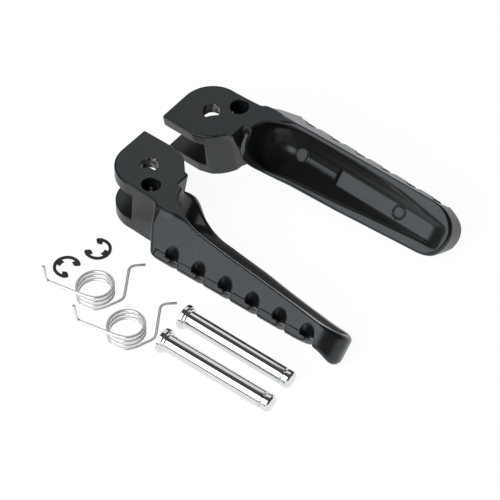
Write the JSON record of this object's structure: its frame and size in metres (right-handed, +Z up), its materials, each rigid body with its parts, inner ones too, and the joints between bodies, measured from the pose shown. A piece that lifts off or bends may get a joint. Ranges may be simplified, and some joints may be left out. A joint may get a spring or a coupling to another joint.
{
  "type": "motorcycle foot peg kit",
  "caption": "Left and right folding motorcycle foot pegs with clevis ends, ribbed tread and hollow underside, laid out with their pivot pins, torsion springs and retaining clips.",
  "frame": {"origin": "middle of the laid-out kit's bounding box, on the surface it lies on", "axes": "+X along the pegs from the clevis ends to the tips, +Y across the pair from the loose hardware towards the right peg, +Z up from the surface"},
  "size_m": [0.1425, 0.1518, 0.0282],
  "materials": {
    "black_peg": "satin black powder coat on a die casting",
    "chrome_pin": "bright plated",
    "spring_wire": "bright zinc plated wire",
    "black_clip": "black phosphated spring steel"
  },
  "bodies": {
    "left_peg": {"left_peg": "black_peg"},
    "right_peg": {"right_peg": "black_peg"},
    "left_pin": {"left_pin": "chrome_pin"},
    "right_pin": {"right_pin": "chrome_pin"},
    "left_spring": {"left_spring": "spring_wire"},
    "right_spring": {"right_spring": "spring_wire"},
    "left_clip": {"left_clip": "black_clip"},
    "right_clip": {"right_clip": "black_clip"}
  },
  "joints": [
    {"name": "right_peg_fold", "type": "hinge", "parent": "left_peg", "child": "right_peg", "pos_m": [-0.05376, 0.04561, 0.01397], "axis": [-0.0043, -0.0661, 0.9978], "range_deg": [0, 85]},
    {"name": "left_pin_slide", "type": "slide", "parent": "left_peg", "child": "left_pin", "axis": [0.9999, 0.014, 0], "range_m": [0, 0.05]},
    {"name": "right_pin_slide", "type": "slide", "parent": "left_peg", "child": "right_pin", "axis": [1, 0.0035, 0], "range_m": [0, 0.05]},
    {"name": "left_spring_turn", "type": "hinge", "parent": "left_peg", "child": "left_spring", "pos_m": [-0.0174, -0.0638, 0.0047], "axis": [0, 0, 1], "range_deg": [-8, 20]},
    {"name": "right_spring_turn", "type": "hinge", "parent": "left_peg", "child": "right_spring", "pos_m": [-0.0419, -0.0547, 0.0047], "axis": [0, 0, 1], "range_deg": [-8, 20]},
    {"name": "left_clip_slide", "type": "slide", "parent": "left_peg", "child": "left_clip", "axis": [-1, 0, 0], "range_m": [0, 0.009]},
    {"name": "right_clip_slide", "type": "slide", "parent": "left_peg", "child": "right_clip", "axis": [-1, 0, 0], "range_m": [0, 0.009]}
  ]
}
